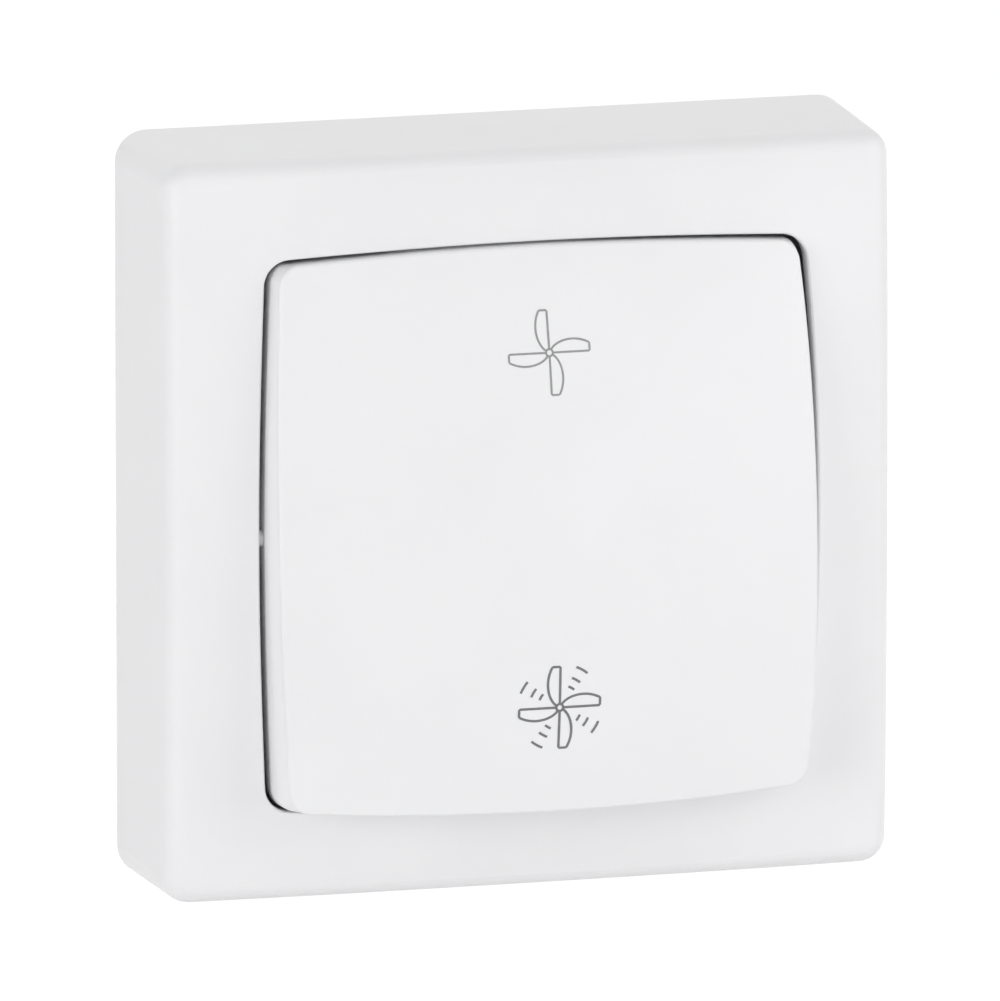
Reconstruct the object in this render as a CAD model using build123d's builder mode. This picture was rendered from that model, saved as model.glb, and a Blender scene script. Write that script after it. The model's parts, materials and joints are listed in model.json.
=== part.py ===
"""Surface-mount two-speed fan switch: a deep square cover with a pillow-shaped front, a large rocker key
on two trunnions, and a see-saw changeover mechanism on a back plate.

The wall is the plane Y = 0, the front faces -Y and Z is up. Heights are measured out from the wall.
The rocker is drawn with its top pressed in, which closes the low-speed contact."""

import os
from math import cos, radians, sin, tan

from build123d import *

os.makedirs("parts", exist_ok=True)

# Driving sizes in millimetres and degrees

# Cover
cover_width = 82.0
cover_depth = 19.2  # wall to the straight border of the front
cover_draft = 1.6  # lean of the side walls
cover_corner_radius = 3.4
cover_edge_radius = 2.6  # rounding between the sides and the front
cover_wall = 2.0
crown_height = 8.8  # rise of the whole pillow front at its middle
crown_fullness = 0.31  # 0 is a parabola; more keeps the pillow fuller towards its border
opening_half = 31.2  # centre to the middle of an opening edge
opening_bow = 1.15  # bulge of each opening edge
opening_corner_radius = 3.0
lip_radius = 0.2
collar_setback = 2.2  # opening edge to the wall around it
collar_wall = 1.6
collar_drop = 4.5  # pivot to the back of that wall
bearing_width = 6.4
cover_rib_width = 1.0
cover_rib_spacing = 36.0
cover_rib_clearance = 5.0  # rim of the base to the ribs

# Rocker key
rocker_tilt = 4.05  # each way from level
rocker_side_gap = 1.2
rocker_end_gap = 0.5
rocker_stand_off = 3.3  # how far the key stands proud of the cover's pillow when level
rocker_plate = 1.8
rocker_skirt = 1.2
rocker_skirt_drop = 4.0  # pivot to the back edge of the skirt
rocker_edge_radius = 0.4
rib_width = 1.0
rib_spacing = 24.0
rib_clear_of_pivot = 1.0
bearing_roof = 0.5  # cover left in front of the closed end of a bearing hole
trunnion_radius = 0.9
trunnion_reach = 1.0  # into its bearing block
running_clearance = 0.05
end_clearance = 0.3

# Plunger and its spring
plunger_radius = 1.5
plunger_guide = 4.5  # length that stays inside the tube
plunger_air = 0.15  # nose to see-saw at mid-travel
tube_wall = 1.25
tube_drop = 6.0  # pivot to the open end of the tube
tube_roof = 1.0
spring_wire = 0.4
spring_turns = 6

# Base
base_thickness = 2.0
base_clearance = 0.25
base_rim_height = 9.0
base_rim_wall = 1.6
slot_spacing = 60.0
slot_width = 4.4
slot_length = 9.0
slot_pad_margin = 2.0
slot_pad_rise = 1.0
cable_entry_width = 24.0
cable_entry_height = 10.0
cable_entry_inset = 3.0  # rim to the entry
knockout_width = 16.0
knockout_height = 12.0
knockout_skin = 0.8
catch_spacing = 40.0
catch_width = 8.0
catch_height = 5.0
catch_length = 2.8
catch_bite = 0.6  # how far a catch enters the cover wall
catch_slit = 1.0  # cut on each side of a catch, so that its tongue bends

# Mechanism housing
housing_width = 34.0
housing_length = 46.0
housing_front = 12.0
housing_skin = 1.6
channel_width = 10.0
terminal_floor = 4.3
core_roof = 3.0
barrier_wall = 1.2
barrier_lift = 0.9  # room above a terminal strip
lid_thickness = 1.4
lid_overlap = 2.5
lid_peg_radius = 0.8
lid_peg_length = 2.4
ear_width = 8.0
ear_reach = 7.0
ear_thickness = 2.0
ear_height = 7.0
ear_inset = 6.0  # end of the housing to the middle of an ear

# Contacts and terminals
strip_thickness = 0.8
strip_width = 8.0
common_strip_width = 7.0
strip_end_clearance = 1.0
strip_margin = 1.0  # strip left beyond a contact
fulcrum_height = 8.2
fulcrum_radius = 0.5
fulcrum_width = 5.2
seesaw_width = 6.0
seesaw_end_gap = 1.5  # end of the strip to the chamber wall
seesaw_thickness = 1.0
seesaw_lift = 0.15  # knife-edge centre to the back of the strip
saddle_clearance = 0.1
saddle_wall = 0.8
saddle_drop = 0.3
contact_inset = 3.0  # end of the see-saw to the middle of a contact
contact_radius = 1.5
contact_head = 0.9
contact_air = 0.05
rivet_radius = 0.8
terminal_inset = 4.5  # end of the housing to a speed terminal's screw
common_inset = 5.5  # side of the housing to the common terminal's screw
wire_gap = 1.6
clamp_size = 7.0
clamp_thickness = 1.2
clamp_lip = 0.8
terminal_screw_radius = 1.7
terminal_head_radius = 3.0
terminal_head_height = 2.0
driver_slot = 0.8
mechanism_screw_radius = 1.2
mechanism_head_radius = 2.7
mechanism_head_height = 1.8
mechanism_screw_depth = 4.0
boss_radius = 3.0
hole_clearance = 0.1

# Worked out from the driving sizes
cover_half = cover_width / 2
border_half = cover_half - cover_depth * tan(radians(cover_draft))
pillow_reach = border_half + cover_wall
full_depth = cover_depth + crown_height + cover_wall
bearing_radius = trunnion_radius + running_clearance
bearing_end = opening_half + trunnion_reach + end_clearance
bearing_share = (bearing_end / border_half) ** 2
bearing_cover = cover_depth + crown_height * (1 - bearing_share) * (1 + crown_fullness * bearing_share)
pivot_height = bearing_cover - bearing_roof - bearing_radius
bearing_block = collar_setback + collar_wall
collar_half = opening_half + bearing_block
collar_corner_radius = opening_corner_radius + bearing_block
collar_back = pivot_height - collar_drop
tilt_cos = cos(radians(rocker_tilt))
tilt_sin = sin(radians(rocker_tilt))
rocker_half_width = opening_half - rocker_side_gap
rocker_half_length = opening_half - rocker_end_gap
rocker_corner_radius = opening_corner_radius - rocker_end_gap
rocker_inner_radius = max(rocker_corner_radius - rocker_skirt, rocker_skirt / 3)
rocker_face = cover_depth + rocker_stand_off - pivot_height
rocker_crown = rocker_face + crown_height
inner_half = cover_half - cover_wall
base_half = inner_half - base_clearance
rim_half = base_half - base_rim_wall
inner_corner_radius = max(cover_corner_radius - cover_wall, cover_wall / 2)
cable_entry_centre = rim_half - cable_entry_inset - cable_entry_height / 2
terminal_station = housing_length / 2 - terminal_inset
common_station = housing_width / 2 - common_inset
chamber_half = terminal_station - clamp_size / 2 - end_clearance - barrier_wall
seesaw_length = 2 * (chamber_half - seesaw_end_gap)
contact_arm = seesaw_length / 2 - contact_inset
strip_top = terminal_floor + strip_thickness
seesaw_front = fulcrum_height + seesaw_lift + seesaw_thickness
plunger_drop = pivot_height - seesaw_front - plunger_air - plunger_radius
plunger_back = plunger_guide - tube_drop
bore_radius = plunger_radius + running_clearance
bore_end = rocker_crown - rocker_plate - tube_roof
clamp_back = strip_top + wire_gap
clamp_front = clamp_back + clamp_thickness
fixed_contact_top = (
    fulcrum_height
    - (contact_head - seesaw_lift) * tilt_cos
    - (contact_arm + contact_radius) * tilt_sin
    - contact_air
)
ear_centre = housing_width / 2 + ear_reach / 2
ear_station = housing_length / 2 - ear_inset
ear_places = ((ear_centre, ear_station), (-ear_centre, -ear_station))
low_place = (0, -terminal_station)
high_place = (0, terminal_station)
common_place = (common_station, 0)
side_signs = (1, -1)

# The rocker turns about the trunnions, the see-saw about the knife edge; both planes are drawn tilted.
rocker_plane = Plane(origin=(0, -pivot_height, 0), x_dir=(1, 0, 0), z_dir=(0, -tilt_cos, tilt_sin))
rocker_section = Plane(origin=rocker_plane.origin, x_dir=(0, tilt_sin, tilt_cos), z_dir=(1, 0, 0))
seesaw_plane = Plane(origin=(0, -fulcrum_height, 0), x_dir=(1, 0, 0), z_dir=(0, -tilt_cos, -tilt_sin))
seesaw_section = Plane(origin=seesaw_plane.origin, x_dir=(0, -tilt_sin, tilt_cos), z_dir=(1, 0, 0))


def bowed_rectangle(half_width, half_length, radius):
    """Rectangle whose sides bulge by the opening's bow at their middles, with rounded corners."""
    x = half_width - opening_bow
    y = half_length - opening_bow
    corners = ((-x, -y), (x, -y), (x, y), (-x, y))
    middles = ((0, -half_length), (half_width, 0), (0, half_length), (-half_width, 0))
    with BuildSketch() as shape:
        with BuildLine():
            for index, middle in enumerate(middles):
                ThreePointArc(corners[index], middle, corners[(index + 1) % 4])
        make_face()
        fillet(shape.vertices(), radius)
    return shape.sketch


def pillow(plane, level):
    """Pillow surface over a plane: level + crown s(x / border) s(y / border).

    Across the border s(u) = (1 - u²)(1 + fullness u²), written out as 1 - a u² - fullness u⁴ with
    a = 1 - fullness. One patch of fourth degree each way holds it exactly: its control heights are the
    blossom of s, where the square and fourth parts are those terms at the patch's edge."""
    share = (pillow_reach / border_half) ** 2
    square_part = (1 - crown_fullness) * share
    fourth_part = crown_fullness * share**2
    edge = 1 - square_part - fourth_part
    quarter = 1 + fourth_part
    middle = 1 + square_part / 3 - fourth_part
    stations = (-pillow_reach, -pillow_reach / 2, 0, pillow_reach / 2, pillow_reach)
    heights = (edge, quarter, middle, quarter, edge)
    rows = []
    for x, rise in zip(stations, heights):
        row = [(x, y, level + crown_height * rise * lift) for y, lift in zip(stations, heights)]
        rows.append([plane.from_local_coords(point) for point in row])
    return Face.make_bezier_surface(rows)


# Cover frame
with BuildPart() as cover_cavity:
    with BuildSketch(Plane.XZ):
        RectangleRounded(2 * inner_half, 2 * inner_half, inner_corner_radius)
    extrude(amount=full_depth, taper=cover_draft)
    inner_pillow = pillow(Plane.XZ, cover_depth - cover_wall)
    extrude(inner_pillow, amount=full_depth, dir=(0, -1, 0), mode=Mode.SUBTRACT)
    # Ribs that tie the collar to the side walls
    with BuildSketch(Plane.XZ.offset(base_rim_height + cover_rib_clearance)):
        with GridLocations(cover_rib_spacing, 0, 2, 1):
            Rectangle(cover_rib_width, cover_width)
        with GridLocations(0, cover_rib_spacing, 1, 2):
            Rectangle(cover_width, cover_rib_width)
        add(bowed_rectangle(collar_half, collar_half, collar_corner_radius), mode=Mode.SUBTRACT)
    extrude(amount=full_depth, mode=Mode.SUBTRACT)
    # Collar that stands back from the opening, with a block for each bearing
    with BuildSketch(Plane.XZ.offset(collar_back)):
        add(bowed_rectangle(collar_half, collar_half, collar_corner_radius))
        inside = collar_half - collar_wall
        add(bowed_rectangle(inside, inside, collar_corner_radius - collar_wall), mode=Mode.SUBTRACT)
        with GridLocations(2 * opening_half + bearing_block, 0, 2, 1):
            Rectangle(bearing_block, bearing_width)
    extrude(amount=full_depth, mode=Mode.SUBTRACT)

with BuildPart() as cover_frame:
    with BuildSketch(Plane.XZ):
        RectangleRounded(cover_width, cover_width, cover_corner_radius)
    extrude(amount=full_depth, taper=cover_draft)
    extrude(pillow(Plane.XZ, cover_depth), amount=full_depth, dir=(0, -1, 0), mode=Mode.SUBTRACT)
    front_face = cover_frame.faces().sort_by(Axis.Y)[0]
    fillet(front_face.edges(), cover_edge_radius)
    add(cover_cavity.part, mode=Mode.SUBTRACT)
    with BuildSketch(Plane.XZ):
        add(bowed_rectangle(opening_half, opening_half, opening_corner_radius))
    extrude(amount=full_depth, mode=Mode.SUBTRACT)
    front_face = cover_frame.faces().sort_by(Axis.Y)[0]
    fillet(front_face.inner_wires()[0].edges(), lip_radius)
    # Bearing holes for the rocker's trunnions
    with BuildSketch(Plane.YZ):
        with Locations((-pivot_height, 0)):
            Circle(bearing_radius)
    extrude(amount=bearing_end, both=True, mode=Mode.SUBTRACT)
    # Recesses for the catches of the base, and thinned break-outs for a surface cable
    with BuildSketch(Plane.XZ.offset(catch_height - base_clearance)):
        with GridLocations(catch_spacing, 0, 2, 1):
            Rectangle(
                catch_width + 2 * base_clearance,
                2 * (inner_half - catch_height * tan(radians(cover_draft)) + catch_bite + base_clearance),
            )
    extrude(amount=catch_length + 2 * base_clearance, mode=Mode.SUBTRACT)
    with BuildSketch(Plane.XZ):
        Rectangle(knockout_width, 2 * (cover_half - knockout_skin))
    extrude(amount=knockout_height, taper=cover_draft, mode=Mode.SUBTRACT)
cover_frame.part.label = "cover_frame"
export_step(cover_frame.part, "parts/cover_frame.step")

# Rocker key
with BuildPart() as rocker_cavity:
    with BuildSketch(rocker_plane.offset(-rocker_skirt_drop)):
        add(
            bowed_rectangle(
                rocker_half_width - rocker_skirt, rocker_half_length - rocker_skirt, rocker_inner_radius
            )
        )
    extrude(amount=full_depth)
    under_face = pillow(rocker_plane, rocker_face - rocker_plate)
    extrude(under_face, amount=full_depth, dir=rocker_plane.z_dir, mode=Mode.SUBTRACT)
    with BuildSketch(rocker_plane.offset(rib_clear_of_pivot)):
        with GridLocations(rib_spacing, 0, 2, 1):
            Rectangle(rib_width, 2 * rocker_half_length)
        with GridLocations(0, rib_spacing, 1, 2):
            Rectangle(2 * rocker_half_width, rib_width)
    extrude(amount=full_depth, mode=Mode.SUBTRACT)

with BuildPart() as rocker_key:
    with BuildSketch(rocker_plane.offset(-rocker_skirt_drop)):
        add(bowed_rectangle(rocker_half_width, rocker_half_length, rocker_corner_radius))
    extrude(amount=full_depth)
    key_pillow = pillow(rocker_plane, rocker_face)
    extrude(key_pillow, amount=full_depth, dir=rocker_plane.z_dir, mode=Mode.SUBTRACT)
    key_face = rocker_key.faces().sort_by(Axis.Y)[0]
    fillet(key_face.edges(), rocker_edge_radius)
    add(rocker_cavity.part, mode=Mode.SUBTRACT)
    # Plunger tube on the back
    with BuildSketch(rocker_plane.offset(-tube_drop)):
        Circle(bore_radius + tube_wall)
    extrude(amount=tube_drop + rocker_crown - rocker_plate / 2)
    with BuildSketch(rocker_plane.offset(-tube_drop)):
        Circle(bore_radius)
    extrude(amount=tube_drop + bore_end, mode=Mode.SUBTRACT)
    # Trunnions on the two side walls
    for side in side_signs:
        with BuildSketch(Plane.YZ.offset(side * (rocker_half_width - rocker_skirt / 2))):
            with Locations((-pivot_height, 0)):
                Circle(trunnion_radius)
        extrude(amount=side * (rocker_side_gap + trunnion_reach + rocker_skirt / 2))
rocker_key.part.label = "rocker_key"
export_step(rocker_key.part, "parts/rocker_key.step")

# Plunger
with BuildPart() as plunger:
    with BuildSketch(rocker_section):
        with Locations((0, -plunger_drop)):
            Circle(plunger_radius)
        with Locations((0, (plunger_back - plunger_drop) / 2)):
            Rectangle(2 * plunger_radius, plunger_back + plunger_drop)
        split(bisect_by=Plane.YZ)
    revolve(axis=Axis(rocker_plane.origin, rocker_plane.z_dir))
plunger.part.label = "plunger"
export_step(plunger.part, "parts/plunger.step")

# Spring between the plunger and the roof of the tube
spring_radius = plunger_radius - spring_wire / 2 - running_clearance
spring_length = bore_end - plunger_back - spring_wire - 2 * contact_air
with BuildPart() as plunger_spring:
    with BuildLine() as coil:
        Helix(
            pitch=spring_length / spring_turns,
            height=spring_length,
            radius=spring_radius,
            center=rocker_plane.offset(plunger_back + spring_wire / 2 + contact_air).origin,
            direction=rocker_plane.z_dir,
        )
    with BuildSketch(coil.line ^ 0):
        Circle(spring_wire / 2)
    sweep()
plunger_spring.part.label = "plunger_spring"
export_step(plunger_spring.part, "parts/plunger_spring.step")

# Base
with BuildPart() as base:
    with BuildSketch(Plane.XZ):
        RectangleRounded(2 * base_half, 2 * base_half, inner_corner_radius)
    extrude(amount=base_rim_height, taper=cover_draft)
    with BuildSketch(Plane.XZ.offset(base_thickness)):
        RectangleRounded(2 * rim_half, 2 * rim_half, inner_corner_radius)
    extrude(amount=base_rim_height, taper=cover_draft, mode=Mode.SUBTRACT)
    # Gaps in the rim behind the cover's break-outs, and slits beside the catches
    with BuildSketch(Plane.XZ.offset(base_thickness)):
        Rectangle(knockout_width, cover_width)
        for centre in (-catch_spacing / 2, catch_spacing / 2):
            with Locations((centre, 0)):
                with GridLocations(catch_width + catch_slit, 0, 2, 1):
                    Rectangle(catch_slit, cover_width)
    extrude(amount=base_rim_height, mode=Mode.SUBTRACT)
    # Snap catches on the upper and lower rim
    rim_face = base_half - catch_height * tan(radians(cover_draft))
    catch_tip = rim_face + base_clearance + catch_bite
    for centre in (-catch_spacing / 2, catch_spacing / 2):
        with BuildSketch(Plane.YZ.offset(centre - catch_width / 2)):
            with BuildLine():
                Polyline(
                    (-catch_height, rim_face - base_rim_wall / 2),
                    (-catch_height, catch_tip),
                    (-catch_height - catch_bite, catch_tip),
                    (-catch_height - catch_length, rim_face - base_rim_wall / 2),
                    close=True,
                )
            make_face()
            mirror(about=Plane.XZ)
        extrude(amount=catch_width)
    # Bosses for the mechanism screws and pads round the wall slots
    with BuildSketch(Plane.XZ.offset(base_thickness)):
        with Locations(*ear_places):
            Circle(boss_radius)
    extrude(amount=ear_height - base_thickness)
    with BuildSketch(Plane.XZ.offset(base_thickness)):
        with GridLocations(slot_spacing, 0, 2, 1):
            SlotOverall(slot_length + 2 * slot_pad_margin, slot_width + 2 * slot_pad_margin)
    extrude(amount=slot_pad_rise)
    with BuildSketch(Plane.XZ):
        with GridLocations(slot_spacing, 0, 2, 1):
            SlotOverall(slot_length, slot_width)
        with Locations((0, cable_entry_centre)):
            SlotOverall(cable_entry_width, cable_entry_height)
    extrude(amount=ear_height, mode=Mode.SUBTRACT)
    with BuildSketch(Plane.XZ.offset(ear_height)):
        with Locations(*ear_places):
            Circle(mechanism_screw_radius + running_clearance)
    extrude(amount=-mechanism_screw_depth - hole_clearance, mode=Mode.SUBTRACT)
base.part.label = "base"
export_step(base.part, "parts/base.step")

# Mechanism housing
channel_half = channel_width / 2
block_centre = (housing_width / 2 + channel_half) / 2
block_width = housing_width / 2 - channel_half
side_block_length = (housing_length - channel_width) / 2
side_block_centre = (housing_length + channel_width) / 4
peg_spacing = 2 * (chamber_half - lid_overlap)
peg_places = GridLocations(channel_width + lid_overlap, peg_spacing, 2, 2).locations
with BuildPart() as mechanism_housing:
    with BuildSketch(Plane.XZ.offset(base_thickness)):
        Rectangle(housing_width, housing_length)
    extrude(amount=housing_front - base_thickness)
    # Open channel for the see-saw and the two speed terminals, and the common bay on the right
    with BuildSketch(Plane.XZ.offset(terminal_floor)):
        Rectangle(channel_width, housing_length)
        with Locations((block_centre, 0)):
            Rectangle(block_width, channel_width)
    extrude(amount=housing_front, mode=Mode.SUBTRACT)
    # Barriers between the contact chamber and the bays, lifted clear of the strips
    with BuildSketch(Plane.XZ.offset(strip_top + barrier_lift)):
        with GridLocations(0, 2 * chamber_half + barrier_wall, 1, 2):
            Rectangle(channel_width, barrier_wall)
        with Locations((channel_half + barrier_wall / 2, 0)):
            Rectangle(barrier_wall, channel_width)
    extrude(amount=housing_front - strip_top - barrier_lift)
    # Ears for the mechanism screws
    with BuildSketch(Plane.XZ.offset(ear_height)):
        with Locations(*ear_places):
            Rectangle(ear_reach, ear_width)
    extrude(amount=ear_thickness)
    # Cored-out back, wells under the terminal screws and holes
    with BuildSketch(Plane.XZ.offset(base_thickness)):
        with Locations((-block_centre, 0)):
            Rectangle(block_width - 2 * housing_skin, housing_length - 2 * housing_skin)
        with Locations((block_centre, side_block_centre), (block_centre, -side_block_centre)):
            Rectangle(block_width - 2 * housing_skin, side_block_length - 2 * housing_skin)
    extrude(amount=housing_front - base_thickness - core_roof, mode=Mode.SUBTRACT)
    with BuildSketch(Plane.XZ.offset(terminal_floor)):
        with Locations(low_place, high_place, common_place):
            Circle(terminal_screw_radius + running_clearance + hole_clearance)
    extrude(amount=base_thickness - terminal_floor, mode=Mode.SUBTRACT)
    with BuildSketch(Plane.XZ.offset(ear_height)):
        with Locations(*ear_places):
            Circle(mechanism_screw_radius + hole_clearance)
    extrude(amount=ear_thickness, mode=Mode.SUBTRACT)
    with BuildSketch(Plane.XZ.offset(housing_front)):
        with Locations(*peg_places):
            Circle(lid_peg_radius + running_clearance)
    extrude(amount=-lid_peg_length - hole_clearance, mode=Mode.SUBTRACT)
mechanism_housing.part.label = "mechanism_housing"
export_step(mechanism_housing.part, "parts/mechanism_housing.step")

# Lid of the contact chamber, with pegs into the housing
plunger_swing = (pivot_height - housing_front) * tan(radians(rocker_tilt))
lid_slot_half = plunger_radius / tilt_cos + end_clearance
lid_width = channel_width + 2 * lid_overlap
with BuildPart() as mechanism_lid:
    with BuildSketch(Plane.XZ.offset(housing_front)):
        RectangleRounded(lid_width, 2 * (chamber_half + barrier_wall), lid_overlap / 2)
        SlotOverall(
            2 * (lid_slot_half + plunger_swing), 2 * lid_slot_half, rotation=90, mode=Mode.SUBTRACT
        )
    extrude(amount=lid_thickness)
    with BuildSketch(Plane.XZ.offset(housing_front)):
        with Locations(*peg_places):
            Circle(lid_peg_radius)
    extrude(amount=-lid_peg_length)
mechanism_lid.part.label = "mechanism_lid"
export_step(mechanism_lid.part, "parts/mechanism_lid.step")

# Changeover see-saw: a strip with a grooved saddle on its back
with BuildPart() as seesaw_contact:
    saddle_radius = fulcrum_radius + saddle_clearance
    with BuildSketch(seesaw_section):
        with Locations((0, seesaw_lift + seesaw_thickness / 2)):
            Rectangle(seesaw_length, seesaw_thickness)
        with Locations((0, (seesaw_lift - saddle_drop) / 2)):
            Rectangle(2 * (saddle_radius + saddle_wall), seesaw_lift + saddle_drop)
        Circle(saddle_radius, mode=Mode.SUBTRACT)
        with Locations((0, -saddle_drop)):
            Rectangle(2 * saddle_radius, 2 * saddle_drop, mode=Mode.SUBTRACT)
    extrude(amount=seesaw_width / 2, both=True)
    with BuildSketch(seesaw_plane):
        with GridLocations(0, 2 * contact_arm, 1, 2):
            Circle(rivet_radius)
    extrude(amount=seesaw_lift + seesaw_thickness, mode=Mode.SUBTRACT)
seesaw_contact.part.label = "seesaw_contact"
export_step(seesaw_contact.part, "parts/seesaw_contact.step")

# Contact rivets on the see-saw
for name, arm in (("moving_contact_low", -contact_arm), ("moving_contact_high", contact_arm)):
    with BuildPart() as moving_contact:
        with BuildSketch(seesaw_plane.offset(seesaw_lift)):
            with Locations((0, arm)):
                Circle(contact_radius)
        extrude(amount=-contact_head)
        with BuildSketch(seesaw_plane.offset(seesaw_lift)):
            with Locations((0, arm)):
                Circle(rivet_radius)
        extrude(amount=seesaw_thickness)
    moving_contact.part.label = name
    export_step(moving_contact.part, f"parts/{name}.step")

# Common terminal: a flat strip with the upright knife edge
fulcrum_end = -fulcrum_width / 2 - strip_thickness
common_end = housing_width / 2 - strip_end_clearance
with BuildPart() as common_terminal:
    with BuildSketch(Plane.XZ.offset(terminal_floor)):
        with Locations(((fulcrum_end + common_end) / 2, 0)):
            Rectangle(common_end - fulcrum_end, common_strip_width)
        with Locations(common_place):
            Circle(terminal_screw_radius + running_clearance, mode=Mode.SUBTRACT)
    extrude(amount=strip_thickness)
    with BuildSketch(Plane.YZ):
        with Locations((-(strip_top + fulcrum_height) / 2, 0)):
            Rectangle(fulcrum_height - strip_top, 2 * fulcrum_radius)
        with Locations((-fulcrum_height, 0)):
            Circle(fulcrum_radius)
    extrude(amount=fulcrum_width / 2, both=True)
common_terminal.part.label = "common_terminal"
export_step(common_terminal.part, "parts/common_terminal.step")

# Speed terminals, each with its fixed contact rivet
strip_inner = contact_arm - contact_radius - strip_margin
strip_outer = housing_length / 2 - strip_end_clearance
for speed, side in (("low", -1), ("high", 1)):
    with BuildPart() as speed_terminal:
        with BuildSketch(Plane.XZ.offset(terminal_floor)):
            with Locations((0, side * (strip_inner + strip_outer) / 2)):
                Rectangle(strip_width, strip_outer - strip_inner)
            with Locations((0, side * terminal_station)):
                Circle(terminal_screw_radius + running_clearance, mode=Mode.SUBTRACT)
            with Locations((0, side * contact_arm)):
                Circle(rivet_radius, mode=Mode.SUBTRACT)
        extrude(amount=strip_thickness)
    speed_terminal.part.label = f"{speed}_speed_terminal"
    export_step(speed_terminal.part, f"parts/{speed}_speed_terminal.step")

    with BuildPart() as fixed_contact:
        with BuildSketch(Plane.XZ.offset(strip_top)):
            with Locations((0, side * contact_arm)):
                Circle(contact_radius)
        extrude(amount=fixed_contact_top - strip_top)
        with BuildSketch(Plane.XZ.offset(terminal_floor)):
            with Locations((0, side * contact_arm)):
                Circle(rivet_radius)
        extrude(amount=strip_thickness)
    fixed_contact.part.label = f"fixed_contact_{speed}"
    export_step(fixed_contact.part, f"parts/fixed_contact_{speed}.step")

# Wire clamps: saddle washers whose lips turn back beside the wire
clamp_places = {
    "low_speed_clamp": Location(low_place),
    "high_speed_clamp": Location(high_place),
    "common_clamp": Location(common_place, 90),
}
for name, place in clamp_places.items():
    with BuildPart() as wire_clamp:
        with BuildSketch(Plane.XZ.offset(clamp_back)):
            with Locations(place):
                RectangleRounded(clamp_size, clamp_size, clamp_lip)
                Circle(terminal_screw_radius + hole_clearance, mode=Mode.SUBTRACT)
        extrude(amount=clamp_thickness)
        with BuildSketch(Plane.XZ.offset(clamp_back)):
            with Locations(place):
                with GridLocations(clamp_size - clamp_lip, 0, 2, 1):
                    Rectangle(clamp_lip, clamp_size - 2 * clamp_lip)
        extrude(amount=-clamp_lip)
    wire_clamp.part.label = name
    export_step(wire_clamp.part, f"parts/{name}.step")

# Terminal screws, slotted, one for each clamp
with BuildPart() as terminal_screws:
    with BuildSketch(Plane.XZ.offset(clamp_front)):
        with Locations(low_place, high_place, common_place):
            Circle(terminal_head_radius)
    extrude(amount=terminal_head_height)
    with BuildSketch(Plane.XZ.offset(clamp_front)):
        with Locations(low_place, high_place, common_place):
            Circle(terminal_screw_radius)
    extrude(amount=base_thickness + end_clearance - clamp_front)
    with BuildSketch(Plane.XZ.offset(clamp_front + terminal_head_height)):
        with Locations(low_place, high_place, common_place):
            Rectangle(2 * terminal_head_radius, driver_slot)
    extrude(amount=-terminal_head_height / 2, mode=Mode.SUBTRACT)
terminal_screws.part.label = "terminal_screws"
export_step(terminal_screws.part, "parts/terminal_screws.step")

# Mechanism screws, slotted, through the ears into the bosses
with BuildPart() as mechanism_screws:
    ear_front = ear_height + ear_thickness
    with BuildSketch(Plane.XZ.offset(ear_front)):
        with Locations(*ear_places):
            Circle(mechanism_head_radius)
    extrude(amount=mechanism_head_height)
    with BuildSketch(Plane.XZ.offset(ear_front)):
        with Locations(*ear_places):
            Circle(mechanism_screw_radius)
    extrude(amount=-ear_thickness - mechanism_screw_depth)
    with BuildSketch(Plane.XZ.offset(ear_front + mechanism_head_height)):
        with Locations(*ear_places):
            Rectangle(2 * mechanism_head_radius, driver_slot)
    extrude(amount=-mechanism_head_height / 2, mode=Mode.SUBTRACT)
mechanism_screws.part.label = "mechanism_screws"
export_step(mechanism_screws.part, "parts/mechanism_screws.step")
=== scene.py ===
"""Looks of a white surface-mount fan switch.

Gives every piece its finish, and adds the leaning flanks of the rocker, the plunger's spring, the two
printed fan signs, the studio and the camera. Sizes are in millimetres, and MM turns them into Blender's
metres. The wall is the plane Y = 0, the front faces -Y and Z is up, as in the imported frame."""

import json
from collections import namedtuple
from math import asin, cos, pi, radians, sin, sqrt, tan

import bpy
import numpy as np
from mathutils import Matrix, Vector


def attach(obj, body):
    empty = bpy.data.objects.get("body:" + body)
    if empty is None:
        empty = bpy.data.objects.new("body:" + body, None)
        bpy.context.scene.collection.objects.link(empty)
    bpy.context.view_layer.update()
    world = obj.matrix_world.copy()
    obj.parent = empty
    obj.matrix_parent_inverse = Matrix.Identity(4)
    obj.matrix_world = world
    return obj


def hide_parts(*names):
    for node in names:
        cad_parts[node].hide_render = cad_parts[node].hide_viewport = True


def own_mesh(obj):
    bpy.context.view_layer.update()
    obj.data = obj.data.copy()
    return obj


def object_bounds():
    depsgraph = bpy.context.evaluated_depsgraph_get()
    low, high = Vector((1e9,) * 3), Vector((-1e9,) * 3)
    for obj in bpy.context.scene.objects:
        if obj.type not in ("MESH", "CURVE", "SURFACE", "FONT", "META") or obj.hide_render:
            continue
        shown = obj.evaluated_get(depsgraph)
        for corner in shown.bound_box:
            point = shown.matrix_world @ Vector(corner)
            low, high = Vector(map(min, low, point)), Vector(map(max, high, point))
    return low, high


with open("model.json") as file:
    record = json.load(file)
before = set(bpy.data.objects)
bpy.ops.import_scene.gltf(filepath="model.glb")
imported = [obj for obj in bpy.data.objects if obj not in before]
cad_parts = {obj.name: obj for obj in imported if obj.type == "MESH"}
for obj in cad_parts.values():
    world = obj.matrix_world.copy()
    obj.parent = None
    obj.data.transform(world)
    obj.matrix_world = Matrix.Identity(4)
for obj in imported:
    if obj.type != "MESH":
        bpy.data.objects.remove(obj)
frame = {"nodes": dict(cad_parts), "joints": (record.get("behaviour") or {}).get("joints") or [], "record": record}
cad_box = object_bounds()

MM = 0.001
CREASE_ANGLE = radians(40.0)  # edges bent by more than this stay sharp

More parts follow.
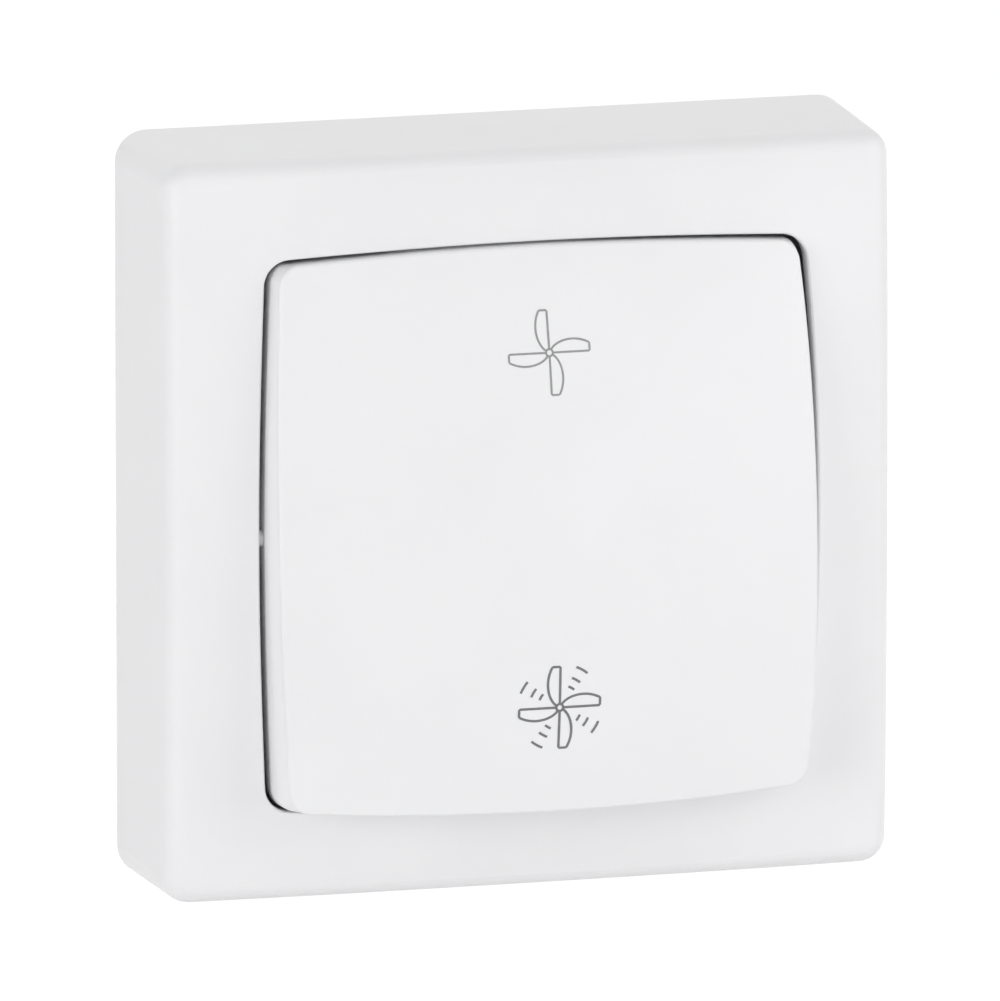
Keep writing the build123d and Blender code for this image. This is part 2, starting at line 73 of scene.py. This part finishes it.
# Rocker: the same pillow as the cover, tilted about its trunnions
COVER_HALF = 41.0
COVER_DEPTH = 19.2
COVER_DRAFT = radians(1.6)
CROWN = 8.8
CROWN_FULLNESS = 0.31
BORDER_HALF = COVER_HALF - COVER_DEPTH * tan(COVER_DRAFT)
ROCKER_STAND_OFF = 3.3
ROCKER_TILT = radians(4.05)
ROCKER_JOINT = next(joint for joint in frame["joints"] if joint["name"] == "rocker_tilt")
PIVOT_HEIGHT = -ROCKER_JOINT["pos_m"][1] / MM
ROCKER_FACE = COVER_DEPTH + ROCKER_STAND_OFF - PIVOT_HEIGHT
ROCKER_PLATE = 1.8
ROCKER_HALF_WIDTH = 30.0
ROCKER_HALF_LENGTH = 30.7
ROCKER_BOW = 1.15
ROCKER_CORNER_RADIUS = 2.5
ROCKER_EDGE_RADIUS = 0.4

# Flanks: the draft of the rocker's two side walls
FLANK_SWELL = 0.5
FLANK_DROP = 2.8  # below the rounded edge, where the swell is full
FLANK_BACK = -3.6  # from the trunnions, just short of the skirt's back edge
FLANK_END_LEAN = radians(84.0)  # turn of the corner at which the swell has run out
FLANK_FULL_SHARE = 0.5  # of that turn, up to which the swell is whole
FLANK_SINK = 0.06  # how far the run-out goes into the wall
FLANK_ROOT = 0.3  # depth of the inner side in the wall
FLANK_SIDE_STATIONS = 61
FLANK_CORNER_STATIONS = 14
FLANK_DEPTH_STATIONS = 15
CORNER_ROUNDS = 6  # steps in which the corner's centre is found

# Spring between the plunger and the roof of the rocker's tube
SPRING_WIRE = 0.4
SPRING_TURNS = 6
SPRING_RADIUS = 1.25
SPRING_AIR = 0.05  # to the plunger and to the roof
SPRING_TURN_STATIONS = 32
SPRING_WIRE_STATIONS = 12
PLUNGER_BACK = -1.5  # from the trunnions
TUBE_ROOF_THICKNESS = 1.0
TUBE_ROOF = ROCKER_FACE + CROWN - ROCKER_PLATE - TUBE_ROOF_THICKNESS

# Printed signs
LOW_SIGN_PLACE = (-0.38, 19.43)  # hub of the sign from the middle of the rocker, across and up
HIGH_SIGN_PLACE = (0.0, -18.98)
LOW_LINE = 0.22
HIGH_LINE = 0.27
INK_RISE = 0.03
INK_SINK = 0.05
INK_TOP_SHARE = 0.3  # half of the line's flat top, in line widths
INK_SHOULDER_SHARE = 0.6  # of the rise, at the line's two edges
BLADE_COUNT = 4
BLADE_ROOT = (-0.34, 0.2)  # where the arched edge leaves the hub
BLADE_ARCH = ((-1.35, 0.9), (-1.75, 2.9))  # control points of the arched edge
BLADE_TIP = (-0.92, 4.42)  # where the arched edge meets the blunt tip
BLADE_LENGTH = 4.5
BLADE_BLUNT = ((-0.8, 0.0), (-0.1, 0.0), (0.0, -0.1))  # blunt tip, from the end of the blade's radius
BLADE_BACK_START = 0.4  # of the straight edge, short of the blade's length
BLADE_ARCH_STATIONS = 24
BLADE_BACK_STATIONS = 12
HUB_RADIUS = 0.38
HUB_STATIONS = 24
DASH_ANGLE = radians(59.0)
DASH_RADII = (2.45, 3.45, 4.72)
DASH_LENGTHS = (0.75, 1.05, 1.45)
DASH_STATIONS = 8

# Finishes: tones as linear red, green and blue, and noises as waves to the metre with their detail
PLASTICS = {  # slot: dark tone, light tone, roughness, waves and depth of the grain
    "white_plastic": ((0.850, 0.850, 0.862), (0.868, 0.868, 0.880), (0.42, 0.50), 3500.0, 0.0015),
    "base_plastic": ((0.76, 0.76, 0.75), (0.80, 0.80, 0.79), (0.48, 0.58), 2500.0, 0.005),
    "mechanism_plastic": ((0.018, 0.018, 0.020), (0.032, 0.032, 0.035), (0.40, 0.55), 2200.0, 0.006),
    "plunger_plastic": ((0.58, 0.56, 0.50), (0.66, 0.64, 0.58), (0.35, 0.45), 2500.0, 0.003),
}
METALS = {  # slot: dark tone, light tone, roughness, waves of the marks along X, Y and Z as shares
    "brass": ((0.70, 0.47, 0.18), (0.83, 0.60, 0.27), (0.24, 0.40), (1.0, 1.0, 0.1)),
    "contact_silver": ((0.78, 0.77, 0.74), (0.90, 0.89, 0.86), (0.18, 0.32), (1.0, 1.0, 1.0)),
    "steel": ((0.50, 0.51, 0.52), (0.64, 0.65, 0.67), (0.25, 0.42), (1.0, 0.2, 1.0)),
}
INKS = {  # name: dark tone, light tone
    "low_sign_ink": ((0.28, 0.28, 0.285), (0.33, 0.33, 0.335)),
    "high_sign_ink": ((0.16, 0.16, 0.165), (0.20, 0.20, 0.205)),
}
TONE_RAMP = (0.3, 0.7)  # values of the noise where the dark tone ends and the light one begins
PLASTIC_TONE = (60.0, 3.0)
PLASTIC_GLOSS = (220.0, 4.0)
GRAIN_DETAIL = 2.0
METAL_TONE = (300.0, 3.0)
METAL_MARKS = (900.0, 5.0)
METAL_MARK_DEPTH = 0.004
INK_TONE = (1800.0, 3.0)
INK_GLOSS = (2500.0, 2.0)
INK_ROUGHNESS = (0.5, 0.65)

# Camera, fitted to the photo's outline
IMAGE_HEIGHT_PIXELS = 1001  # the longer side of the image, which the sensor spans
SENSOR = 36.0
VIEW_AZIMUTH = radians(15.602)  # to the left of the front
VIEW_ELEVATION = radians(11.725)
VIEW_DISTANCE = 2475.0
VIEW_NEAREST = 100.0
VIEW_FARTHEST = 20000.0
PIXELS_PER_MM = 9.265
VIEW_TARGET = Vector((0.0, -12.0, 0.0))
TARGET_OFFSET_PIXELS = (11.625, 4.636)  # right of and below the middle of the image

# Studio
WHITE = (1.0, 1.0, 1.0, 1.0)
WORLD_LEVEL = 0.255
FLOOR_HALF = 3000.0
FLOOR_DROP = 200.0  # the switch hangs on a wall, clear of the floor
FLOOR_PALE = (0.94, 0.94, 0.94, 1.0)
FLOOR_WHITE = 1.10
FLOOR_WHITE_SHARE = 0.88  # the rest of the floor keeps the shadow
SOFTBOX_DISTANCE = 1600.0
SOFTBOXES = {  # name: degrees to the right of the front, degrees up, width, power in watts
    "softbox_left": (-57.0, 8.0, 1000.0, 11.7),
    "softbox_right": (57.0, 17.0, 1600.0, 14.3),
    "softbox_front": (0.0, 35.0, 1000.0, 1.9),
    "softbox_back": (180.0, 48.0, 2200.0, 10.9),
}


# A tube is a grid of points, ring after ring. Closed joins its ends, and flipped turns its faces over.
Tube = namedtuple("Tube", "grid closed flipped", defaults=(False, False))


def tube_faces(tube, start):
    """Faces of a tube whose first point has the number start: quads between each ring and the next one,
    and a cap at either end unless the tube is closed."""
    rings, ring_points = tube.grid.shape[:2]
    number = start + np.arange(rings * ring_points).reshape(rings, ring_points)
    after = np.roll(number, -1, axis=1)
    quads = np.stack((number, after, np.roll(after, -1, axis=0), np.roll(number, -1, axis=0)), axis=-1)
    way = -1 if tube.flipped else 1
    if tube.closed:
        return quads.reshape(-1, 4)[:, ::way].tolist()
    caps = [number[0, ::-way].tolist(), number[-1, ::way].tolist()]
    return quads[:-1].reshape(-1, 4)[:, ::way].tolist() + caps


def make_piece(name, tubes, material, body):
    """One object from several tubes, riding on the body."""
    points = []
    faces = []
    start = 0
    for tube in tubes:
        points.append(tube.grid.reshape(-1, 3))
        faces += tube_faces(tube, start)
        start += len(points[-1])
    mesh = bpy.data.meshes.new(name)
    mesh.from_pydata(np.concatenate(points) * MM, [], faces)
    mesh.shade_smooth()
    mesh.set_sharp_from_angle(angle=CREASE_ANGLE)
    mesh.materials.append(material)
    piece = bpy.data.objects.new(name, mesh)
    bpy.context.scene.collection.objects.link(piece)
    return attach(piece, body)


def rocker_height(across, up):
    """Height of the rocker's face over its trunnions: face + crown s(across / border) s(up / border), where
    s(u) = (1 - u²)(1 + fullness u²)."""
    across_share = (across / BORDER_HALF) ** 2
    up_share = (up / BORDER_HALF) ** 2
    rise = (1 - across_share) * (1 + CROWN_FULLNESS * across_share)
    rise = rise * (1 - up_share) * (1 + CROWN_FULLNESS * up_share)
    return ROCKER_FACE + CROWN * rise


def turned_with_rocker(across, up, height):
    """Point given across, up and over the trunnions of the level rocker, turned by the rocker's tilt."""
    y = -PIVOT_HEIGHT + up * sin(ROCKER_TILT) - height * cos(ROCKER_TILT)
    z = up * cos(ROCKER_TILT) + height * sin(ROCKER_TILT)
    return np.stack((across, y, z), axis=-1)


def on_rocker(across, up, lift):
    """Point so far over the rocker's face."""
    return turned_with_rocker(across, up, rocker_height(across, up) + lift)


def flank_path():
    """Outline of the right side of the level rocker, from the lower corner's end to the upper one's.

    Each side is an arc of radius (half chord² + bow²) / (2 bow), and a corner's centre lies the corner
    radius inside both arcs, found by putting each coordinate into the other arc a few times. Returns the
    points and their outward normals."""
    half_chords = ROCKER_HALF_LENGTH - ROCKER_BOW, ROCKER_HALF_WIDTH - ROCKER_BOW
    side_arc, end_arc = ((chord**2 + ROCKER_BOW**2) / (2 * ROCKER_BOW) for chord in half_chords)
    side_reach = side_arc - ROCKER_CORNER_RADIUS
    end_reach = end_arc - ROCKER_CORNER_RADIUS
    corner_up = ROCKER_HALF_LENGTH - ROCKER_CORNER_RADIUS
    for _ in range(CORNER_ROUNDS):
        corner_across = ROCKER_HALF_WIDTH - side_arc + sqrt(side_reach**2 - corner_up**2)
        corner_up = ROCKER_HALF_LENGTH - end_arc + sqrt(end_reach**2 - corner_across**2)
    side_lean = asin(corner_up / side_reach)
    lean = np.linspace(-side_lean, side_lean, FLANK_SIDE_STATIONS)
    middle = np.stack((ROCKER_HALF_WIDTH - side_arc * (1 - np.cos(lean)), side_arc * np.sin(lean)), axis=1)
    corner_lean = np.linspace(side_lean, FLANK_END_LEAN, FLANK_CORNER_STATIONS)[1:]
    corner_normal = np.stack((np.cos(corner_lean), np.sin(corner_lean)), axis=1)
    upper = (corner_across, corner_up) + ROCKER_CORNER_RADIUS * corner_normal
    lower = upper[::-1] * (1, -1)
    leans = np.concatenate((-corner_lean[::-1], lean, corner_lean))
    return np.concatenate((lower, middle, upper)), np.stack((np.cos(leans), np.sin(leans)), axis=1)


def rocker_flank(side):
    """Draft of one side wall: a closed pad that follows the wall and swells towards the back.

    At a depth below the rounded edge the pad stands out from the wall by swell b - sink (1 - b), where
    b = sin(pi/2 depth / drop) (3 f² - 2 f³), and f falls from 1 to 0 as the normal turns round a corner.
    From the drop on it goes straight back, and its inner side stays in the wall."""
    path, normal = flank_path()
    edge = rocker_height(path[:, 0], path[:, 1]) - ROCKER_EDGE_RADIUS
    turn = np.arccos(normal[:, 0]) / FLANK_END_LEAN
    fade = np.clip((1 - turn) / (1 - FLANK_FULL_SHARE), 0.0, 1.0)
    fade = fade**2 * (3 - 2 * fade)
    share = np.linspace(0.0, 1.0, FLANK_DEPTH_STATIONS)[:, None]
    bulge = np.sin(pi / 2 * share) * fade
    outer = FLANK_SWELL * bulge - FLANK_SINK * (1 - bulge)
    inner = np.full_like(outer[-1:], -FLANK_ROOT)
    back = np.full_like(inner, FLANK_BACK)
    height = np.concatenate((edge - share * FLANK_DROP, back, back, edge[None, :]))
    stand_out = np.concatenate((outer, outer[-1:], inner, inner))
    across = path[:, 0] + stand_out * normal[:, 0]
    up = path[:, 1] + stand_out * normal[:, 1]
    return Tube(turned_with_rocker(side * across, up, height).transpose(1, 0, 2), flipped=side < 0)


def plunger_coil():
    """Spring: a round wire carried along a helix that rises evenly from the plunger to the tube's roof.

    A point of the wire is the helix's point + wire / 2 (outward cos a + upright sin a), where a goes round
    the wire and upright is at right angles to both the radius and the helix."""
    foot = PLUNGER_BACK + SPRING_AIR + SPRING_WIRE / 2
    head = TUBE_ROOF - SPRING_AIR - SPRING_WIRE / 2
    turn = np.linspace(0.0, 2 * pi * SPRING_TURNS, SPRING_TURN_STATIONS * SPRING_TURNS + 1)
    climb = (head - foot) / turn[-1]
    level = np.zeros_like(turn)
    outward = np.stack((np.sin(turn), -np.cos(turn), level), axis=1)
    along = np.stack((np.cos(turn), np.sin(turn), level + climb / SPRING_RADIUS), axis=1)
    upright = np.cross(outward, along / np.linalg.norm(along, axis=1, keepdims=True))
    centre = SPRING_RADIUS * outward + np.stack((level, level, foot + climb * turn), axis=1)
    round_wire = np.linspace(0.0, 2 * pi, SPRING_WIRE_STATIONS, endpoint=False)[None, :, None]
    ring = np.cos(round_wire) * outward[:, None, :] + np.sin(round_wire) * upright[:, None, :]
    wire = centre[:, None, :] + SPRING_WIRE / 2 * ring
    return Tube(turned_with_rocker(wire[..., 0], wire[..., 1], wire[..., 2]), flipped=True)


def ink_line(path, width, place, closed=False):
    """Printed line: a low rounded section of the given width carried along a path on the rocker's face.

    At each point of the path the section stands across the path's direction, and place is where the
    path's own origin lies on the rocker."""
    if closed:
        along = np.roll(path, -1, axis=0) - np.roll(path, 1, axis=0)
    else:
        along = np.gradient(path, axis=0)
    along /= np.linalg.norm(along, axis=1, keepdims=True)
    side = np.stack((-along[:, 1], along[:, 0]), axis=1)
    shoulder = INK_SHOULDER_SHARE * INK_RISE
    across_share = np.array((-0.5, -0.5, -INK_TOP_SHARE, INK_TOP_SHARE, 0.5, 0.5))
    lift = np.array((-INK_SINK, shoulder, INK_RISE, INK_RISE, shoulder, -INK_SINK))
    flat = place + path[:, None, :] + width * across_share[None, :, None] * side[:, None, :]
    return Tube(on_rocker(flat[..., 0], flat[..., 1], lift), closed, flipped=True)


def turned(path, angle):
    """The path turned about its origin: (x cos - y sin, x sin + y cos)."""
    turn = np.array(((cos(angle), sin(angle)), (-sin(angle), cos(angle))))
    return path @ turn


def blade_path():
    """Outline of the upright blade: a cubic curve from the hub to the tip, then across the blunt tip and
    straight back along the blade's own radius.

    The curve is (1 - t)³ root + 3 (1 - t)² t first + 3 (1 - t) t² second + t³ tip, where t goes from 0 to
    1 along it, and first and second are its control points."""
    t = np.linspace(0.0, 1.0, BLADE_ARCH_STATIONS)[:, None]
    root, tip = np.array(BLADE_ROOT), np.array(BLADE_TIP)
    first, second = np.array(BLADE_ARCH)
    arch = (1 - t) ** 3 * root + 3 * (1 - t) ** 2 * t * first + 3 * (1 - t) * t**2 * second + t**3 * tip
    blunt = np.array(BLADE_BLUNT) + (0.0, BLADE_LENGTH)
    back = np.linspace(BLADE_LENGTH - BLADE_BACK_START, HUB_RADIUS, BLADE_BACK_STATIONS)
    return np.concatenate((arch, blunt, np.stack((np.zeros_like(back), back), axis=1)))


def fan_sign(name, place, width, ink, with_dashes):
    """Four outlined blades round a small hub ring, with three dashes a quarter if asked, each an arc of its
    own length and radius about the hub."""
    hub_angles = np.linspace(0.0, 2 * pi, HUB_STATIONS, endpoint=False)
    hub = HUB_RADIUS * np.stack((np.cos(hub_angles), np.sin(hub_angles)), axis=1)
    lines = [ink_line(hub, width, place, closed=True)]
    for quarter in range(BLADE_COUNT):
        turn = quarter * 2 * pi / BLADE_COUNT
        lines.append(ink_line(turned(blade_path(), turn), width, place))
        if not with_dashes:
            continue
        for radius, length in zip(DASH_RADII, DASH_LENGTHS):
            angles = DASH_ANGLE + np.linspace(-0.5, 0.5, DASH_STATIONS) * length / radius
            dash = radius * np.stack((np.cos(angles), np.sin(angles)), axis=1)
            lines.append(ink_line(turned(dash, turn), width, place))
    return make_piece(name, lines, ink, "rocker")


def new_material(name):
    """Material with one Principled shader; returns the material, its nodes, links and shader."""
    material = bpy.data.materials.new(name)
    material.use_nodes = True
    tree = material.node_tree
    return material, tree.nodes, tree.links, tree.nodes["Principled BSDF"]


def noise(nodes, links, waves, detail, stretch=(1.0, 1.0, 1.0)):
    """Noise of so many waves to the metre on the piece's own coordinates; returns its value socket."""
    coordinates = nodes.new("ShaderNodeTexCoord")
    mapping = nodes.new("ShaderNodeMapping")
    mapping.inputs["Scale"].default_value = stretch
    texture = nodes.new("ShaderNodeTexNoise")
    texture.inputs["Scale"].default_value = waves
    texture.inputs["Detail"].default_value = detail
    links.new(coordinates.outputs["Object"], mapping.inputs["Vector"])
    links.new(mapping.outputs["Vector"], texture.inputs["Vector"])
    return texture.outputs["Fac"]


def vary_colour(nodes, links, shader, value, dark, light):
    """Base colour that runs from dark to light with the value."""
    ramp = nodes.new("ShaderNodeValToRGB")
    for stop, position, tone in zip(ramp.color_ramp.elements, TONE_RAMP, (dark, light)):
        stop.position = position
        stop.color = (*tone, 1.0)
    links.new(value, ramp.inputs["Fac"])
    links.new(ramp.outputs["Color"], shader.inputs["Base Color"])


def vary_roughness(nodes, links, shader, value, low, high):
    """Roughness that runs from low to high with the value."""
    spread = nodes.new("ShaderNodeMapRange")
    spread.inputs["To Min"].default_value = low
    spread.inputs["To Max"].default_value = high
    links.new(value, spread.inputs["Value"])
    links.new(spread.outputs["Result"], shader.inputs["Roughness"])


def add_bump(nodes, links, shader, value, depth):
    """Relief that is so deep where the value goes from 0 to 1."""
    bump = nodes.new("ShaderNodeBump")
    bump.inputs["Strength"].default_value = 1.0
    bump.inputs["Distance"].default_value = depth * MM
    links.new(value, bump.inputs["Height"])
    links.new(bump.outputs["Normal"], shader.inputs["Normal"])


def moulded_plastic(name, dark, light, roughness, grain_waves, grain_depth):
    """Moulded plastic: faint cloudy tone, cloudy gloss and a fine grain from the mould."""
    material, nodes, links, shader = new_material(name)
    vary_colour(nodes, links, shader, noise(nodes, links, *PLASTIC_TONE), dark, light)
    vary_roughness(nodes, links, shader, noise(nodes, links, *PLASTIC_GLOSS), *roughness)
    add_bump(nodes, links, shader, noise(nodes, links, grain_waves, GRAIN_DETAIL), grain_depth)
    return material


def worked_metal(name, dark, light, roughness, stretch):
    """Metal with fine marks from rolling or plating, drawn out where the stretch is under 1."""
    material, nodes, links, shader = new_material(name)
    shader.inputs["Metallic"].default_value = 1.0
    marks = noise(nodes, links, *METAL_MARKS, stretch)
    vary_colour(nodes, links, shader, noise(nodes, links, *METAL_TONE), dark, light)
    vary_roughness(nodes, links, shader, marks, *roughness)
    add_bump(nodes, links, shader, marks, METAL_MARK_DEPTH)
    return material


def printed_ink(name, dark, light):
    """Matt printing ink with a slightly uneven cover."""
    material, nodes, links, shader = new_material(name)
    vary_colour(nodes, links, shader, noise(nodes, links, *INK_TONE), dark, light)
    vary_roughness(nodes, links, shader, noise(nodes, links, *INK_GLOSS), *INK_ROUGHNESS)
    return material


def seen_directly(nodes, links):
    """Value that is 1 for camera, glossy and transmission rays, and 0 for the light on the object."""
    path = nodes.new("ShaderNodeLightPath")
    seen = path.outputs["Is Camera Ray"]
    for ray in ("Is Glossy Ray", "Is Transmission Ray"):
        either = nodes.new("ShaderNodeMath")
        either.operation = "MAXIMUM"
        links.new(seen, either.inputs[0])
        links.new(path.outputs[ray], either.inputs[1])
        seen = either.outputs[0]
    return seen


def light_world():
    """Even white surround: full white where it is seen, WORLD_LEVEL where it lights."""
    world = bpy.data.worlds.new("studio")
    world.use_nodes = True
    nodes, links = world.node_tree.nodes, world.node_tree.links
    level = nodes.new("ShaderNodeMapRange")
    level.inputs["To Min"].default_value = WORLD_LEVEL
    level.inputs["To Max"].default_value = 1.0
    links.new(seen_directly(nodes, links), level.inputs["Value"])
    links.new(level.outputs["Result"], nodes["Background"].inputs["Strength"])
    nodes["Background"].inputs["Color"].default_value = WHITE
    bpy.context.scene.world = world


def floor_finish():
    """Pale floor that keeps the shadow: mostly white where it is seen, and plain pale where it lights."""
    material = bpy.data.materials.new("floor")
    material.use_nodes = True
    nodes, links = material.node_tree.nodes, material.node_tree.links
    nodes.remove(nodes["Principled BSDF"])
    pale = nodes.new("ShaderNodeBsdfDiffuse")
    pale.inputs["Color"].default_value = FLOOR_PALE
    white = nodes.new("ShaderNodeEmission")
    white.inputs["Strength"].default_value = FLOOR_WHITE
    share = nodes.new("ShaderNodeMath")
    share.operation = "MULTIPLY"
    share.inputs[1].default_value = FLOOR_WHITE_SHARE
    links.new(seen_directly(nodes, links), share.inputs[0])
    mix = nodes.new("ShaderNodeMixShader")
    links.new(share.outputs[0], mix.inputs["Fac"])
    links.new(pale.outputs[0], mix.inputs[1])
    links.new(white.outputs[0], mix.inputs[2])
    links.new(mix.outputs[0], nodes["Material Output"].inputs["Surface"])
    return material


def lay_floor():
    """Flat floor some way below the object."""
    low = cad_box[0].z / MM - FLOOR_DROP
    corners = np.array(((-1, -1), (1, -1), (1, 1), (-1, 1))) * FLOOR_HALF
    points = np.column_stack((corners, np.full(4, low))) * MM
    mesh = bpy.data.meshes.new("floor")
    mesh.from_pydata(points, [], [(0, 1, 2, 3)])
    mesh.materials.append(floor_finish())
    floor = bpy.data.objects.new("floor", mesh)
    bpy.context.scene.collection.objects.link(floor)


def hang_softbox(name, azimuth, elevation, width, power):
    """Large soft lamp that shines on the object, turned to the right of the front and raised."""
    turn, raised = radians(azimuth), radians(elevation)
    direction = Vector((sin(turn) * cos(raised), -cos(turn) * cos(raised), sin(raised)))
    lamp = bpy.data.lights.new(name, "AREA")
    lamp.shape = "DISK"
    lamp.size = width * MM
    lamp.energy = power
    softbox = bpy.data.objects.new(name, lamp)
    softbox.location = direction * SOFTBOX_DISTANCE * MM
    softbox.rotation_euler = direction.to_track_quat("Z", "Y").to_euler()
    bpy.context.scene.collection.objects.link(softbox)


def place_camera():
    """Camera on the photo's line of sight, aimed so that the target lands off the image's middle."""
    back = Vector((
        -sin(VIEW_AZIMUTH) * cos(VIEW_ELEVATION),
        -cos(VIEW_AZIMUTH) * cos(VIEW_ELEVATION),
        sin(VIEW_ELEVATION),
    ))
    right = Vector((cos(VIEW_AZIMUTH), -sin(VIEW_AZIMUTH), 0.0))
    up = back.cross(right)
    offset_right, offset_down = TARGET_OFFSET_PIXELS
    aim = VIEW_TARGET + (up * offset_down - right * offset_right) / PIXELS_PER_MM
    lens = bpy.data.cameras.new("camera")
    lens.sensor_width = SENSOR
    lens.lens = SENSOR * PIXELS_PER_MM * VIEW_DISTANCE / IMAGE_HEIGHT_PIXELS
    lens.clip_start = VIEW_NEAREST * MM
    lens.clip_end = VIEW_FARTHEST * MM
    camera = bpy.data.objects.new("camera", lens)
    camera.location = (aim + back * VIEW_DISTANCE) * MM
    camera.rotation_euler = back.to_track_quat("Z", "Y").to_euler()
    bpy.context.scene.collection.objects.link(camera)
    bpy.context.scene.camera = camera


finishes = {name: moulded_plastic(name, *values) for name, values in PLASTICS.items()}
finishes |= {name: worked_metal(name, *values) for name, values in METALS.items()}
finishes |= {name: printed_ink(name, *tones) for name, tones in INKS.items()}
for subpart in frame["record"]["subparts"]:
    frame["nodes"][subpart["node"]].material_slots[0].material = finishes[subpart["material_slot"]]

flanks = [rocker_flank(side) for side in (-1, 1)]
make_piece("rocker_flanks", flanks, finishes["white_plastic"], "rocker")

spring = make_piece("plunger_coil", [plunger_coil()], finishes["steel"], "rocker")
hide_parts("plunger_spring")
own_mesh(spring)

fan_sign("fan_sign_low", LOW_SIGN_PLACE, LOW_LINE, finishes["low_sign_ink"], with_dashes=False)
fan_sign("fan_sign_high", HIGH_SIGN_PLACE, HIGH_LINE, finishes["high_sign_ink"], with_dashes=True)

light_world()
lay_floor()
for name, setting in SOFTBOXES.items():
    hang_softbox(name, *setting)
place_camera()
bpy.context.scene.view_settings.view_transform = "Standard"
